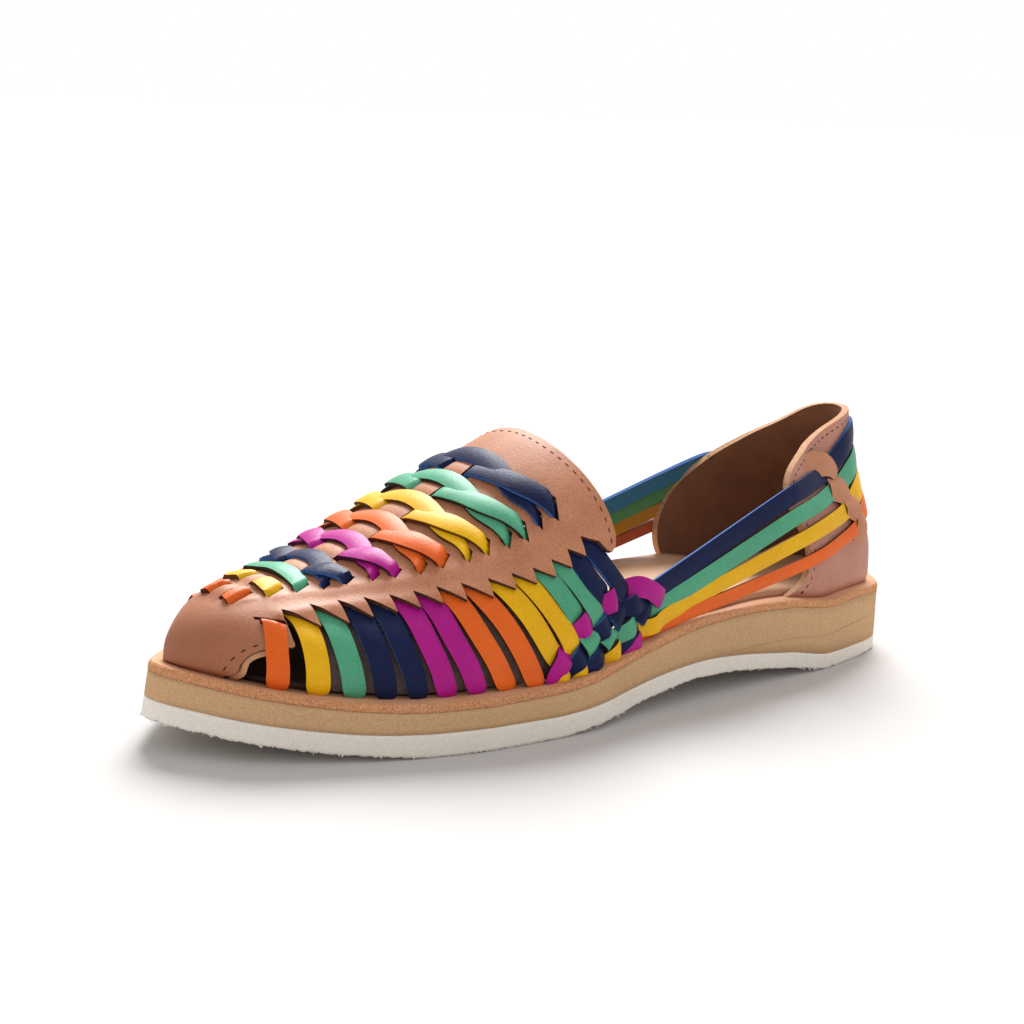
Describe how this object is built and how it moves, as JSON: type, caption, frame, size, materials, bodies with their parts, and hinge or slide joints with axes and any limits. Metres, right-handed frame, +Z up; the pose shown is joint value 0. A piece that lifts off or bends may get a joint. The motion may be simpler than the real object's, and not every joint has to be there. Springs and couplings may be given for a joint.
{
  "type": "huarache sandal",
  "caption": "Left-foot woven leather huarache sandal: closed slotted vamp, coloured interlaced strips, tall heel cup held by straps, low layered sole.",
  "frame": {"origin": "on the floor, under the middle of the shoe's outline", "axes": "+X toward the toe, +Y toward the outer side of this left shoe, +Z up"},
  "size_m": [0.2644, 0.094, 0.077],
  "materials": {
    "outsole_rubber": "off-white rubber sheet with a rough-cut lower edge",
    "midsole_cork": "fine-grained tan midsole, sanded matt",
    "leather_edge": "raw fibrous edge of a tan leather midsole",
    "footbed_leather": "smooth pale tan footbed leather",
    "vamp_leather": "smooth tan leather, slightly burnished at the toe",
    "counter_leather": "tan leather outside, brown suede inside",
    "strap_navy": "navy dyed leather with pale blue cut edges",
    "strap_mint": "mint green dyed leather",
    "strap_yellow": "yellow dyed leather",
    "strap_orange": "orange dyed leather"
  },
  "bodies": {
    "root": {"outsole": "outsole_rubber", "midsole": "midsole_cork", "leather_midsole": "leather_edge", "insole": "footbed_leather", "upper": "vamp_leather", "heel_counter": "counter_leather", "heel_strap_navy": "strap_navy", "heel_strap_mint": "strap_mint", "heel_strap_yellow": "strap_yellow", "heel_strap_orange": "strap_orange"}
  },
  "joints": []
}
